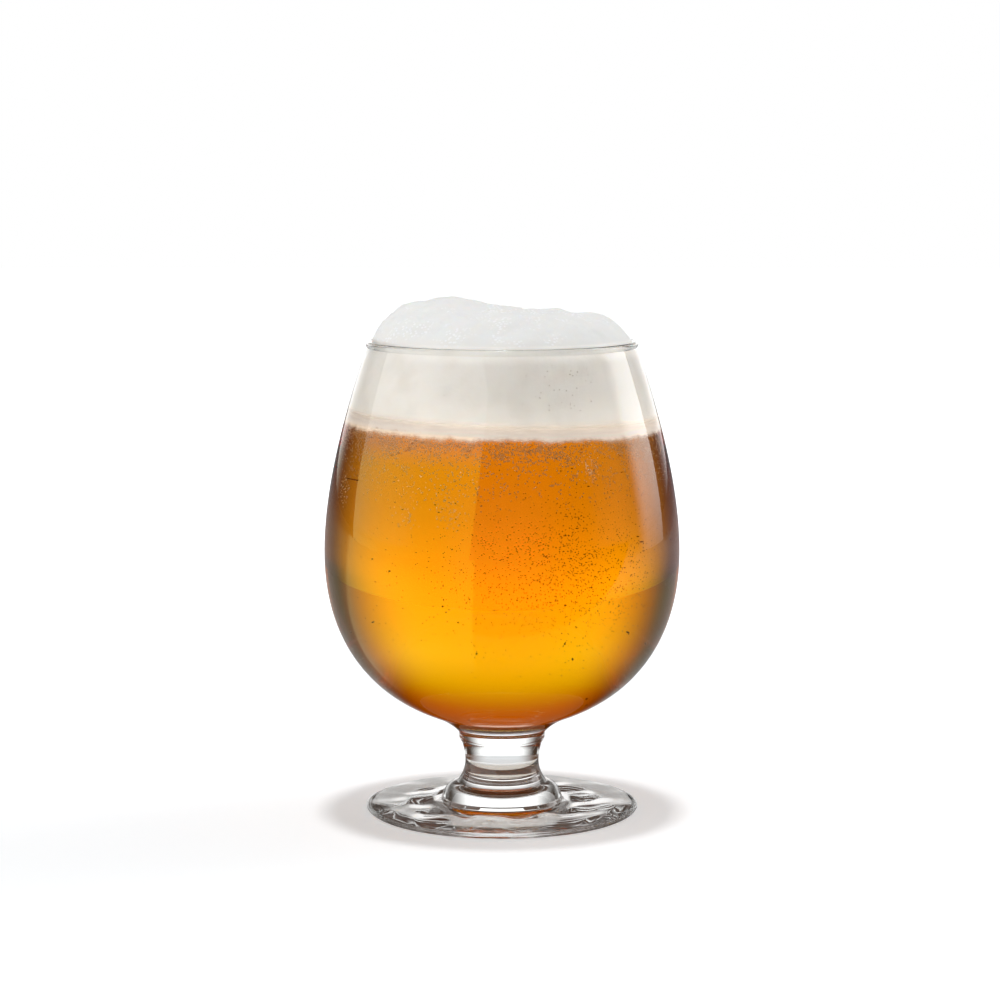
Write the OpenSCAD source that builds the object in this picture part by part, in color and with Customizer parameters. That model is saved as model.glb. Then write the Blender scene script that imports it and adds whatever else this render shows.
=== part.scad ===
// Stemmed beer glass with a round bowl, filled with beer under a mound of froth.
// Millimetres, +Z up. The origin is on the table, on the axis of the glass.
// From the table up: foot, knop, stem, bowl. The beer and its froth fill the bowl.

/* [Bowl] */
// Outer diameter at the belly, the widest place
bowl_d = 90; // [84:1:98]
// Height of the belly above the joint with the stem
belly_h = 48.4; // [44:0.2:54]
// Height of the rim above the joint with the stem
bowl_h = 102; // [96:1:110]
// Outer diameter of the wall just under the rim
rim_d = 68; // [62:1:74]
// Thickness of the wall at the belly
wall_t = 1.5; // [1.2:0.1:1.9]
// Thickness of the wall under the rim
rim_t = 1.3; // [1.1:0.1:1.6]
// Diameter of the fire-polished bead along the rim
bead_d = 1.9; // [1.7:0.1:2.4]
// Thickness of the glass under the middle of the inside
base_t = 5.9; // [5.5:0.1:6.6]
// Diameter of the short neck below the bowl
neck_d = 22; // [20.5:0.5:24]
// Height of that neck
neck_h = 2.3; // [1.8:0.1:3]
// Diameter at which the neck's flare runs out into the bowl
flare_d = 36.4; // [34:0.2:40]
// Height of that flare
flare_h = 4.6; // [4:0.1:5]
// Slope of the bowl's underside where the flare runs out, in degrees
flare_slope = 21; // [18:1:24]

/* [Stem] */
// Height of the stem
stem_h = 10.8; // [8:0.2:16]
// Diameter of the stem at its top, under the bowl's neck
stem_top_d = 20.8; // [19:0.2:20.8]
// Diameter at the waist, the narrowest place
waist_d = 18.7; // [16:0.1:19]
// Height of the waist above the knop
waist_h = 5.5; // [4.5:0.1:6.5]
// Diameter of the stem at its bottom
stem_base_d = 22.8; // [21:0.2:24]

/* [Knop] */
// Diameter of the round cushion between the stem and the foot
knop_d = 31; // [28:0.5:36]
// Height of the knop
knop_h = 4.3; // [3.5:0.1:6]

/* [Foot] */
// Diameter of the foot
foot_d = 69.2; // [62:0.2:78]
// Thickness of the foot at the knop
foot_t = 3; // [2.8:0.1:4]
// Thickness of the foot at its edge
foot_edge_t = 2.1; // [1.8:0.1:2.6]
// Outer diameter of the flat ring that the glass stands on
rest_d = 66.4; // [60:0.2:68]
// Width of that flat ring
rest_w = 8; // [5:0.5:11]
// Depth of the shallow hollow under the foot
hollow_h = 0.9; // [0.6:0.1:1.2]

/* [Beer and froth] */
// Depth of the beer in the bowl
beer_h = 75; // [60:1:84]
// Gap that keeps the filling's solids clear of the glass
filling_gap = 0.05; // [0.02:0.01:0.1]
// Height of the froth's mound above the rim
mound_h = 7.4; // [5:0.1:10]
// Height of the lobe that rises out of the mound on one side
lobe_h = 3.4; // [2:0.1:5]
// Distance of that lobe from the axis
lobe_x = 14; // [8:1:18]
// Spread of the lobe
lobe_spread = 15; // [10:1:20]

/* [Hidden] */

glass_colour = [0.86, 0.90, 0.90, 0.45];
beer_colour = [0.87, 0.50, 0.06];
froth_colour = [0.95, 0.93, 0.88];

// Heights, stacked up from the table
knop_z = foot_t;
stem_z = knop_z + knop_h;
bowl_z = stem_z + stem_h;
neck_z = bowl_z + neck_h;
flare_z = neck_z + flare_h;
belly_z = bowl_z + belly_h;
rim_z = bowl_z + bowl_h;
well_z = bowl_z + base_t;
beer_z = well_z + beer_h;

// Radii
bowl_r = bowl_d / 2;
rim_r = rim_d / 2;
bead_r = bead_d / 2;
neck_r = neck_d / 2;
flare_r = flare_d / 2;
stem_top_r = stem_top_d / 2;
stem_base_r = stem_base_d / 2;
waist_r = waist_d / 2;
knop_r = knop_d / 2;
foot_r = foot_d / 2;
rest_r = rest_d / 2;
rest_in_r = rest_r - rest_w;

// Handles of the curves, as shares of the stretch that each one spans
shoulder_share = 0.38;
underside_shares = [0.70, 0.483];
inside_shares = [1.41, 0.63];
flare_share = 0.36;
neck_shares = [0.96, 0.99, 0.25, 0.6];
foot_edge_shares = [0.35, 0.8, 0.985];
waist_share = 0.5;
froth_shares = [1, 0.97, 0.91, 0.82, 0.7, 0.54, 0.36, 0.18];
froth_steps = 5;
// How square the mound's shoulder is
mound_power = 5;
// Pieces in each curve, and sectors round the froth
curve_n = 14;
froth_n = 40;
$fn = 96;

// A curve with three handles, and one with four, as lists of [radius, height]
function bend3(a, b, c, n = curve_n) =
    [for (i = [0:n]) let (t = i / n) pow(1 - t, 2) * a + 2 * t * (1 - t) * b + t * t * c];
function bend4(a, b, c, d, n = curve_n) =
    [for (i = [0:n]) let (t = i / n)
        pow(1 - t, 3) * a + 3 * t * pow(1 - t, 2) * b + 3 * t * t * (1 - t) * c + pow(t, 3) * d];
// A list without its first point, for curves that join end to end
function rest_of(points) = [for (i = [1:len(points) - 1]) points[i]];
function reversed(points) = [for (i = [len(points) - 1:-1:0]) points[i]];

// The bowl's outer side, from the neck's foot to the bead
shoulder_h = shoulder_share * (rim_z - belly_z);
flare_out = [cos(flare_slope), sin(flare_slope)];
flare_end = [flare_r, flare_z];
flare_start = [neck_r, neck_z];
neck_side = [
    [neck_r * neck_shares[0], bowl_z],
    [neck_r * neck_shares[1], bowl_z + neck_h * neck_shares[2]],
    [neck_r * neck_shares[1], bowl_z + neck_h * neck_shares[3]]
];
flare_reach = (flare_r - neck_r) * (1 - flare_share) / cos(flare_slope);
flare_side = bend3(flare_start, flare_end - flare_reach * flare_out, flare_end);
underside_reach = underside_shares[0] * (bowl_r - flare_r);
underside = bend4(
    flare_end,
    flare_end + underside_reach * flare_out,
    [bowl_r, belly_z - underside_shares[1] * (belly_z - flare_z)],
    [bowl_r, belly_z]
);
shoulder = bend3([bowl_r, belly_z], [bowl_r, belly_z + shoulder_h], [rim_r, rim_z - bead_d]);
outer_side = concat(neck_side, flare_side, rest_of(underside), rest_of(shoulder));

// The inside of the bowl from the axis to the rim, drawn in by a gap for what fills it
function well_side(gap) = let (r = bowl_r - wall_t - gap, z = well_z + gap) bend4(
    [0, z],
    [inside_shares[0] * flare_r, z],
    [r, belly_z - inside_shares[1] * (belly_z - z)],
    [r, belly_z]
);
function wall_side(gap) = let (r = bowl_r - wall_t - gap) bend3(
    [r, belly_z],
    [r, belly_z + shoulder_h],
    [rim_r - rim_t - gap, rim_z - bead_d]
);
function inner_side(gap) = concat(well_side(gap), rest_of(wall_side(gap)));

// The bead stands on the wall, flush with it on the inside
bead_start = -30;
bead_step = 15;
bead_end = 180;
bead_x = rim_r - rim_t + bead_r;
bead_side = [for (a = [bead_start:bead_step:bead_end])
    [bead_x + bead_r * cos(a), rim_z - bead_r + bead_r * sin(a)]];

module bowl() {
    color(glass_colour)
        rotate_extrude()
            polygon(concat(
                [[0, bowl_z]],
                outer_side,
                bead_side,
                reversed(inner_side(0))
            ));
}

// The stem is drawn in to a waist between two wider ends
waist_z = stem_z + waist_h;
stem_side = concat(
    bend3(
        [stem_base_r, stem_z],
        [waist_r, waist_z - waist_share * waist_h],
        [waist_r, waist_z]
    ),
    rest_of(bend3(
        [waist_r, waist_z],
        [waist_r, waist_z + waist_share * (bowl_z - waist_z)],
        [stem_top_r, bowl_z]
    ))
);

module stem() {
    color(glass_colour)
        rotate_extrude()
            polygon(concat([[0, stem_z]], stem_side, [[0, bowl_z]]));
}

// The knop's shoulder is a quarter of an ellipse that ends where the stem begins
shoulder_steps = 12;
knop_side = [for (i = [0:shoulder_steps]) let (a = 90 * i / shoulder_steps)
    [stem_base_r + (knop_r - stem_base_r) * cos(a), knop_z + knop_h * sin(a)]];

module knop() {
    color(glass_colour)
        rotate_extrude()
            polygon(concat([[0, knop_z]], knop_side, [[0, stem_z]]));
}

// The foot: hollow underside, flat resting ring, rounded edge, top that rises to the knop
edge_z = foot_edge_t * foot_edge_shares[1];
foot_hollow = bend3([0, hollow_h], [rest_in_r / 2, hollow_h], [rest_in_r, 0]);
foot_edge = concat(
    bend3([rest_r, 0], [foot_r, foot_edge_t * foot_edge_shares[0]], [foot_r, edge_z]),
    rest_of(bend3([foot_r, edge_z], [foot_r, foot_edge_t], [foot_r * foot_edge_shares[2], foot_edge_t]))
);

module foot() {
    color(glass_colour)
        rotate_extrude()
            polygon(concat(foot_hollow, foot_edge, [[knop_r, foot_t], [0, foot_t]]));
}

// Beer up to its level, with the shape of the inside
module beer() {
    color(beer_colour)
        rotate_extrude()
            intersection() {
                polygon(concat(inner_side(filling_gap), [[0, rim_z - bead_d]]));
                square([bowl_r, beer_z]);
            }
}

// Froth: rings up the inside of the wall, then rings in over the mound to its middle
froth_wall = [for (p = inner_side(filling_gap)) [p[1], p[0]]];
froth_r = rim_r - rim_t - filling_gap;
function mound_z(x, y) =
    let (share = min(1, norm([x, y]) / froth_r))
    rim_z + (1 - pow(share, mound_power))
        * (mound_h + lobe_h * exp(-pow(norm([x + lobe_x, y]) / lobe_spread, 2)));
function ring(r) = [for (i = [0:froth_n - 1]) let (a = 360 * i / froth_n) r * [cos(a), sin(a)]];
froth_rings = concat(
    [for (i = [0:froth_steps - 1])
        let (z = beer_z + (rim_z - bead_d - beer_z) * i / (froth_steps - 1))
        [for (p = ring(lookup(z, froth_wall))) [p[0], p[1], z]]],
    [for (share = froth_shares)
        [for (p = ring(froth_r * share)) [p[0], p[1], mound_z(p[0], p[1])]]]
);
froth_points = concat(
    [for (r = froth_rings) each r],
    [[0, 0, beer_z], [0, 0, mound_z(0, 0)]]
);
last_ring = (len(froth_rings) - 1) * froth_n;
froth_low = len(froth_rings) * froth_n;
froth_top = froth_low + 1;
froth_faces = concat(
    [for (k = [0:len(froth_rings) - 2], i = [0:froth_n - 1])
        let (a = k * froth_n + i, b = k * froth_n + (i + 1) % froth_n)
        each [[a, a + froth_n, b], [b, a + froth_n, b + froth_n]]],
    [for (i = [0:froth_n - 1]) [froth_low, i, (i + 1) % froth_n]],
    [for (i = [0:froth_n - 1]) [froth_top, last_ring + (i + 1) % froth_n, last_ring + i]]
);

module foam_head() {
    color(froth_colour)
        polyhedron(points = froth_points, faces = froth_faces);
}

bowl();
stem();
knop();
foot();
beer();
foam_head();
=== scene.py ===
# %% [markdown]
# # A glass of beer
# The object is a short-stemmed beer glass, full of amber beer under a mound of froth.
# Its solids come from the part's own model, at their real size, and stay where they are.
# This lesson dresses them: it models the glass, the beer, the froth and the bubbles as
# meshes, gives each one its finish, and lights them the way a studio lights a drink.

# %% Load the solids
import math

import bpy
import numpy as np
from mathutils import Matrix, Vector, noise


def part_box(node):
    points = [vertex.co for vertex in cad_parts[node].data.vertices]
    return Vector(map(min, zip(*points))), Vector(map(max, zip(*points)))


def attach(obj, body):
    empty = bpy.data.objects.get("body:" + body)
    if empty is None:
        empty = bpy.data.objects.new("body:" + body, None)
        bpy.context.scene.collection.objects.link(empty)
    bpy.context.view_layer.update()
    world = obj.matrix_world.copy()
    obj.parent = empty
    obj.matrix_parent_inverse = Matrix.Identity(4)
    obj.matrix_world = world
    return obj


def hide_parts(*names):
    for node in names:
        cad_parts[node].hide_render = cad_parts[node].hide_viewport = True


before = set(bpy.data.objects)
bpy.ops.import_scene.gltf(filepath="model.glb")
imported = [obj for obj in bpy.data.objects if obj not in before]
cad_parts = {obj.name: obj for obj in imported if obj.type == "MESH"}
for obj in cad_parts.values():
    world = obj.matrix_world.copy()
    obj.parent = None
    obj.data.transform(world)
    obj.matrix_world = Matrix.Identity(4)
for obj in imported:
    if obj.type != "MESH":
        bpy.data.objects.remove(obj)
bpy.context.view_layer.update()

MM = 0.001
print("solids:", sorted(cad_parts))

# %% [markdown]
# ## The camera
# The picture was taken with a long lens from a little above the rim. Straight lines on the
# foot and the rim gave its height and its distance. The lens is worked out from how many
# pixels a millimetre takes, so the glass fills the same part of the frame.
#
# Light crosses a full glass many times before it comes out, so a ray gets more bounces than
# usual. `CLEAR_LAYERS` is how many fully clear surfaces it may pass without a bounce.

# %% Place the camera
CAMERA_PLACE = (-0.5 * MM, -749.9 * MM, 172.65 * MM)
CAMERA_PITCH = 7.07
LENS = 107.45
LIGHT_BOUNCES = (32, 24, 32)
CLEAR_LAYERS = 24

bpy.ops.object.camera_add(
    location=CAMERA_PLACE,
    rotation=(math.radians(90 - CAMERA_PITCH), 0, 0),
)
camera = bpy.context.object
camera.data.lens = LENS
bpy.context.scene.camera = camera
cycles = bpy.context.scene.cycles
cycles.max_bounces, cycles.glossy_bounces, cycles.transmission_bounces = LIGHT_BOUNCES
cycles.transparent_max_bounces = CLEAR_LAYERS
bpy.context.scene.view_settings.view_transform = "Standard"
print("lens in mm:", LENS, "bounces:", LIGHT_BOUNCES)

# %% [markdown]
# ## Colours and nodes
# Colours are written as the hex values that a paint chart gives. Light is reckoned in
# linear values, so one function turns a hex value to linear. A second one adds a node and
# gives its outputs. Each input takes a plain value, or the output of another node.
#
# A few settings come back all the time, so they have names: a smooth ramp, a mix of two
# colours, and the sums. A Mix node takes its share at input 0. Its numbers are inputs 2
# and 3 with output 0, and its colours are inputs 6 and 7 with output 2.

# %% Colours and nodes
SMOOTH = {"interpolation_type": "SMOOTHSTEP"}
COLOURS = {"data_type": "RGBA"}
SUMS = ("MULTIPLY", "DIVIDE", "ADD", "SUBTRACT", "MAXIMUM", "GREATER_THAN", "LESS_THAN", "ABSOLUTE")
TIMES, OVER, PLUS, MINUS, LARGER, ABOVE, BELOW, UNSIGNED = ({"operation": name} for name in SUMS)


def linear(hex_value):
    channels = [int(hex_value[i : i + 2], 16) / 255 for i in (1, 3, 5)]
    return [c / 12.92 if c <= 0.04045 else ((c + 0.055) / 1.055) ** 2.4 for c in channels] + [1]


def grey(level):
    return (level, level, level, 1)


def add_node(tree, kind, inputs=(), settings=None):
    """Adds a node and gives its outputs."""
    node = tree.nodes.new("ShaderNode" + kind)
    for name, value in (settings or {}).items():
        setattr(node, name, value)
    for name, value in inputs.items() if isinstance(inputs, dict) else enumerate(inputs):
        if isinstance(value, bpy.types.NodeSocket):
            tree.links.new(value, node.inputs[name])
        else:
            node.inputs[name].default_value = value
    return node.outputs


def new_material(name):
    material = bpy.data.materials.new(name)
    material.use_nodes = True
    material.node_tree.nodes.clear()
    return material, material.node_tree


print("a middle grey in linear light:", round(linear("#808080")[0], 3))

# %% [markdown]
# ## The studio
# A drink is lit from behind. A white wall stands behind the glass and a white table runs
# up to it. The sides stay dark, and they draw the dark edges in the glass. A large soft
# box on the left and a narrow one on the right give the two tall reflections. One lamp
# overhead gives the soft shadow on the table.
#
# What the camera sees directly is plain white. What the glass mirrors and bends comes from
# the studio round it, so the world's shader looks at the kind of ray. It also counts the
# surfaces that a ray has crossed. Through the stem, the knop or the foot these are four at
# most, and the way through the beer takes more. Angles are in degrees, off the axis that
# points at the wall, or above the horizon.

# %% The walls' angles and tones
WALL_ANGLES = (14, 48)
SIDE_ANGLES = (22, 32)
EDGE_SOFTNESS = 6
WALL_RISE = (0, 9)
WALL_TOP, GLASS_WALL_TOP = (7, 34), (7, 24)
WARM_SIDE, WARM_TOP = (10, 44), (14, 34)
TOP_START = (35, 43)
MIRRORED_TOP = (8, 14)
GLASS_LAYERS = 4.5
HORIZON_LIGHT, WALL_LIGHT, HIGH_SHARE = 1.4, 1.5, 0.17
FRONT_LIGHT, FILL_LIGHT = 0.08, 0.25
BEER_WALL, WARM_WALL = (1.22, 1.48, 0.3, 1), (1.15, 0.62, 0.1, 1)
DARK_TINT = (0.055, 0.042, 0.032, 1)
HIGH_TINT, HIGH_BROWN = (0.64, 0.22, 0.03, 1), (0.06, 0.017, 0.006, 1)
TOP_BROWN = (0.05, 0.014, 0.004, 1)


def sines(*degrees):
    return [math.sin(math.radians(angle)) for angle in degrees]


def headings(tree, vector):
    """How far a direction from the axis points to the side and to the back, from -1 to 1."""
    flat = add_node(tree, "VectorMath", (vector, (1, 1, 0)), TIMES)[0]
    unit = add_node(tree, "VectorMath", [flat], {"operation": "NORMALIZE"})[0]
    return add_node(tree, "SeparateXYZ", [unit])


def wedge(tree, side, angles):
    """1 towards both ends of an axis, fading to 0 between the two angles away from it."""
    off_axis = add_node(tree, "Math", [side], UNSIGNED)[0]
    return add_node(tree, "MapRange", (off_axis, *sines(*angles), 1, 0), SMOOTH)[0]


print("the wall's edges:", [round(s, 2) for s in sines(*WALL_ANGLES)])

# %% [markdown]
# Seen through the beer, the wall is lit a little green at its middle, which the beer turns
# to gold, and warm towards its sides and its top, which gives the beer its brown edges.
# Clear glass shows it white. What isn't lit is nearly black, with a brown tint overhead.

# %% What glass and beer show of the walls
def wall_colour(tree, up, sides, via_beer):
    rise = add_node(tree, "MapRange", (up, *sines(*WALL_RISE), 0, 1), SMOOTH)[0]
    level = add_node(tree, "Mix", {0: rise, 6: grey(HORIZON_LIGHT), 7: BEER_WALL}, COLOURS)[2]
    off_middle = add_node(tree, "Math", [sides["X"]], UNSIGNED)[0]
    to_side = add_node(tree, "MapRange", (off_middle, *sines(*WARM_SIDE), 0, 1), SMOOTH)[0]
    to_top = add_node(tree, "MapRange", (up, *sines(*WARM_TOP), 0, 1), SMOOTH)[0]
    warm = add_node(tree, "Math", (to_side, to_top), LARGER)[0]
    level = add_node(tree, "Mix", {0: warm, 6: level, 7: WARM_WALL}, COLOURS)[2]
    return add_node(tree, "Mix", {0: via_beer, 6: grey(WALL_LIGHT), 7: level}, COLOURS)[2]


def dark_colour(tree, up, ends, fall, via_beer):
    unlit = add_node(tree, "Math", (1, fall), MINUS)[0]
    high = add_node(tree, "Math", (ends, unlit), TIMES)[0]
    top = add_node(tree, "MapRange", (up, *sines(*TOP_START), 0, 1), SMOOTH)[0]
    high_tint = add_node(tree, "Mix", {0: via_beer, 6: HIGH_BROWN, 7: HIGH_TINT}, COLOURS)[2]
    top_tint = add_node(tree, "Mix", {0: via_beer, 6: TOP_BROWN, 7: HIGH_TINT}, COLOURS)[2]
    level = add_node(tree, "Mix", {0: high, 6: DARK_TINT, 7: high_tint}, COLOURS)[2]
    return add_node(tree, "Mix", {0: top, 6: level, 7: top_tint}, COLOURS)[2]


def seen_through(tree, up, sides, ends, ray):
    via_beer = add_node(tree, "Math", (ray["Transmission Depth"], GLASS_LAYERS), ABOVE)[0]
    by_glass = add_node(tree, "MapRange", (up, *sines(*GLASS_WALL_TOP), 1, 0), SMOOTH)[0]
    by_beer = add_node(tree, "MapRange", (up, *sines(*WALL_TOP), 1, HIGH_SHARE), SMOOTH)[0]
    fall = add_node(tree, "Mix", {0: via_beer, 2: by_glass, 3: by_beer})[0]
    walls = add_node(tree, "Math", (ends, wedge(tree, sides["Y"], SIDE_ANGLES)), LARGER)[0]
    lit = add_node(tree, "Math", (walls, fall), TIMES)[0]
    dark = dark_colour(tree, up, ends, fall, via_beer)
    wall = wall_colour(tree, up, sides, via_beer)
    return add_node(tree, "Mix", {0: lit, 6: dark, 7: wall}, COLOURS)[2]


print("through the beer: after more than", int(GLASS_LAYERS), "surfaces")


# %% [markdown]
# Mirrored, only the low part of the back wall shows. The rest of the room is dim, and that
# draws the dark streaks on the foot and the dark rim of the bowl.

# %% The world
def mirrored_wall(tree, up, sides, ends):
    back = add_node(tree, "MapRange", (sides["Y"], 0, *sines(EDGE_SOFTNESS), 0, 1), SMOOTH)[0]
    back_wall = add_node(tree, "Math", (ends, back), TIMES)[0]
    back_wall = add_node(tree, "Math", (back_wall, WALL_LIGHT), TIMES)[0]
    low_only = add_node(tree, "MapRange", (up, *sines(*MIRRORED_TOP), 1, 0), SMOOTH)[0]
    level = add_node(tree, "Math", (back_wall, low_only), TIMES)[0]
    return add_node(tree, "Math", (level, FRONT_LIGHT), LARGER)[0]


def make_world():
    world = bpy.data.worlds.new("studio")
    bpy.context.scene.world = world
    world.use_nodes = True
    tree = world.node_tree
    tree.nodes.clear()
    direction = add_node(tree, "TexCoord")["Generated"]
    up = add_node(tree, "SeparateXYZ", [direction])["Z"]
    sides = headings(tree, direction)
    ends = wedge(tree, sides["X"], WALL_ANGLES)
    ray = add_node(tree, "LightPath")
    level = grey(FILL_LIGHT)
    for kind, seen in (
        ("Is Glossy Ray", mirrored_wall(tree, up, sides, ends)),
        ("Is Transmission Ray", seen_through(tree, up, sides, ends, ray)),
        ("Is Camera Ray", grey(1)),
    ):
        level = add_node(tree, "Mix", {0: ray[kind], 6: level, 7: seen}, COLOURS)[2]
    shader = add_node(tree, "Background", {"Strength": 1, "Color": level})[0]
    add_node(tree, "OutputWorld", {"Surface": shader})
    return len(tree.nodes)


print("nodes in the world's shader:", make_world())

# %% [markdown]
# The table is one large white sheet. It must keep the object's shadow and still be white
# round it, so its own diffuse white is joined by a weak glow that only the camera, mirrored
# and bent rays see. Further from the glass the sheet is lighter, as it nears the lit walls.
# Seen through the beer its white is a little warm, as the beer's own light falls on it.

# %% The table's sizes in metres and its tones
TABLE_SIZE = 6
TABLE_DROP = 0.1 * MM
GLASS_H = 0.06
FOOT_START, FOOT_END = 0.042, 0.055
SEEN_START, SEEN_END = 0.15, 0.5
SEEN_NEAR, SEEN_FAR = 0.275, 0.9
BENT_FLAT, BENT_STEEP = 0.0, 0.21
BENT_FAR, BENT_NEAR = 1.2, 0.0
FOOT_GLOW, AGAIN_SHARE = 0.35, 0.12
PAPER, BEER_PAPER = linear("#EFF1F3"), (0.79, 0.6, 0.4, 1)
# A painted shade: bent rays see the sheet dark brown to its left and right, and under the foot once
# mirrored inside the glass.
PAINTED_SHADE_TINT = (0.16, 0.085, 0.05, 1)


def bent_light(tree, reach, sides, ray):
    """What bent rays see of the sheet: the strength of its glow, and its colour, painted dark brown
    to the sides and under the foot as a painted shade.
    """
    slope = add_node(tree, "Math", (GLASS_H, reach), OVER)[0]
    glow_range = (BENT_FLAT, BENT_STEEP, BENT_FAR, BENT_NEAR)
    far_glow = add_node(tree, "MapRange", (slope, *glow_range), SMOOTH)[0]
    ends = wedge(tree, sides["X"], WALL_ANGLES)
    beyond = add_node(tree, "Math", (far_glow, ends), TIMES)[0]
    straight = add_node(tree, "Math", (ray["Glossy Depth"], 0.5), BELOW)[0]
    below = add_node(tree, "Math", (straight, FOOT_GLOW), TIMES)[0]
    again = add_node(tree, "Math", (straight, AGAIN_SHARE), LARGER)[0]
    under = add_node(tree, "MapRange", (reach, FOOT_START, FOOT_END, 1, 0), SMOOTH)[0]
    glow = add_node(tree, "Mix", {0: under, 2: beyond, 3: below})[0]
    share = add_node(tree, "Mix", {0: under, 2: ends, 3: again})[0]
    via_beer = add_node(tree, "Math", (ray["Transmission Depth"], GLASS_LAYERS), ABOVE)[0]
    paper = add_node(tree, "Mix", {0: via_beer, 6: PAPER, 7: BEER_PAPER}, COLOURS)[2]
    return glow, add_node(tree, "Mix", {0: share, 6: PAINTED_SHADE_TINT, 7: paper}, COLOURS)[2]


print("white of the sheet:", [round(c, 2) for c in PAPER[:3]])

# %% [markdown]
# The glass mirrors the sheet too. On this side of the left box the sheet glows, and with the
# box it makes the broad pale veil on the left of the bowl. `LEFT_BOX` is the box's heading.

# %% What the glass mirrors of the table
LEFT_BOX, LEFT_REACH, REACH_SOFTNESS = 65.5, 1.1, 0.02
LEFT_EDGE, LEFT_BACK = (17.4, 16.4), (22, 27)
LEFT_GLOW = 0.9
TABLE_EDGE, TABLE_SOFTNESS = -0.095, 0.012
MIRRORED_SHARE = 0.5


def mirrored_light(tree, place, reach, sides):
    """What mirrored rays see of the sheet: the strength of its glow, and its colour. The colour is
    black near the foot and in front, and at most half white further out: a painted shade.
    """
    edges = [-s for s in sines(*LEFT_EDGE)]
    left = add_node(tree, "MapRange", (sides["X"], *edges, 1, 0), SMOOTH)[0]
    front = add_node(tree, "MapRange", (sides["Y"], *sines(*LEFT_BACK), 1, 0), SMOOTH)[0]
    left = add_node(tree, "Math", (left, front), TIMES)[0]
    aim = (*[-s for s in sines(LEFT_BOX, 90 - LEFT_BOX)], 0)
    towards = add_node(tree, "VectorMath", (place, aim), {"operation": "DOT_PRODUCT"})["Value"]
    ends_at = (LEFT_REACH - REACH_SOFTNESS, LEFT_REACH)
    near = add_node(tree, "MapRange", (towards, *ends_at, 1, 0), SMOOTH)[0]
    left = add_node(tree, "Math", (left, near), TIMES)[0]
    beside = add_node(tree, "MapRange", (reach, FOOT_START, 2 * FOOT_START, 0, 1), SMOOTH)[0]
    glow = add_node(tree, "Math", (left, beside), TIMES)[0]
    glow = add_node(tree, "Math", (glow, LEFT_GLOW), TIMES)[0]
    depth = add_node(tree, "SeparateXYZ", [place])["Y"]
    edge = (TABLE_EDGE - TABLE_SOFTNESS, TABLE_EDGE, 0, MIRRORED_SHARE)
    on_table = add_node(tree, "MapRange", (depth, *edge), SMOOTH)[0]
    rest = add_node(tree, "Math", (beside, left), MINUS)[0]
    share = add_node(tree, "Math", (on_table, rest), TIMES)[0]
    return glow, add_node(tree, "Mix", {0: share, 6: grey(0), 7: PAPER}, COLOURS)[2]


print("heading of the left box:", LEFT_BOX, "degrees")


# %% The table
def make_table():
    bpy.ops.mesh.primitive_plane_add(size=TABLE_SIZE, location=(0, 0, -TABLE_DROP))
    table = bpy.context.object
    table.name = "table"
    bpy.ops.object.transform_apply(location=True, rotation=False, scale=True)
    material, tree = new_material("white paper sweep")
    place = add_node(tree, "TexCoord")["Object"]
    reach = add_node(tree, "VectorMath", [place], {"operation": "LENGTH"})["Value"]
    sides = headings(tree, place)
    ray = add_node(tree, "LightPath")
    seen_range = (SEEN_START, SEEN_END, SEEN_NEAR, SEEN_FAR)
    seen = add_node(tree, "MapRange", (reach, *seen_range), SMOOTH)[0]
    glow, colour = 0.0, PAPER
    for kind, (seen_glow, seen_colour) in (
        ("Is Glossy Ray", mirrored_light(tree, place, reach, sides)),
        ("Is Transmission Ray", bent_light(tree, reach, sides, ray)),
        ("Is Camera Ray", (seen, PAPER)),
    ):
        glow = add_node(tree, "Mix", {0: ray[kind], 2: glow, 3: seen_glow})[0]
        colour = add_node(tree, "Mix", {0: ray[kind], 6: colour, 7: seen_colour}, COLOURS)[2]
    sheet = {"Base Color": colour, "Roughness": 0.9, "Specular IOR Level": 0}
    sheet |= {"Emission Color": grey(1), "Emission Strength": glow}
    surface = add_node(tree, "BsdfPrincipled", sheet)[0]
    add_node(tree, "OutputMaterial", {"Surface": surface})
    material.cycles.emission_sampling = "NONE"
    table.data.materials.append(material)


make_table()
print("table:", TABLE_SIZE, "m across")

# %% [markdown]
# Each lamp is an area lamp: its size sets how soft its shadow is, and its shape is what the
# glass mirrors. `aim` turns a lamp towards the glass. The lamps aren't seen through the
# glass, so that the dark edges stay dark. The strip on the right is a sheet of cloth that is
# lit from one corner, so two of its edges fade out.

# %% The lamps
AIM_HEIGHT = 80 * MM
STRIP_SOFTNESS = 0.4


def add_box_light(name, place, size, power, shape="RECTANGLE"):
    bpy.ops.object.light_add(type="AREA", location=place)
    lamp = bpy.context.object
    lamp.name = name
    lamp.data.shape = shape
    lamp.data.size, lamp.data.size_y = size
    lamp.data.energy = power
    aim = Vector((0, 0, AIM_HEIGHT)) - Vector(place)
    lamp.rotation_euler = aim.to_track_quat("-Z", "Y").to_euler()
    lamp.visible_camera = False
    lamp.visible_transmission = False
    return lamp


def on_circle(azimuth, distance, height):
    turn = math.radians(azimuth)
    return (distance * math.sin(turn), -distance * math.cos(turn), height)


add_box_light("left box", on_circle(-LEFT_BOX, 0.95, 0.42), (2.19, 0.95), 6.8)
strip = add_box_light("right strip", on_circle(110, 0.8, 0.36), (0.5, 1.05), 4.6)
add_box_light("overhead lamp", (0, 0, 1.5), (0.16, 0.16), 8.5, "ELLIPSE")

# %% The strip's soft edges
strip.data.use_nodes = True
lamp_tree = strip.data.node_tree
across = add_node(lamp_tree, "NewGeometry")["Parametric"]
across = add_node(lamp_tree, "SeparateXYZ", [across])
fades = [
    add_node(lamp_tree, "MapRange", (across[axis], 0, STRIP_SOFTNESS, 0, 1), SMOOTH)[0]
    for axis in "XY"
]
softened = add_node(lamp_tree, "Math", fades, TIMES)[0]
lamp_tree.links.new(softened, lamp_tree.nodes["Emission"].inputs["Strength"])
print("soft share of the strip:", STRIP_SOFTNESS)

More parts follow.
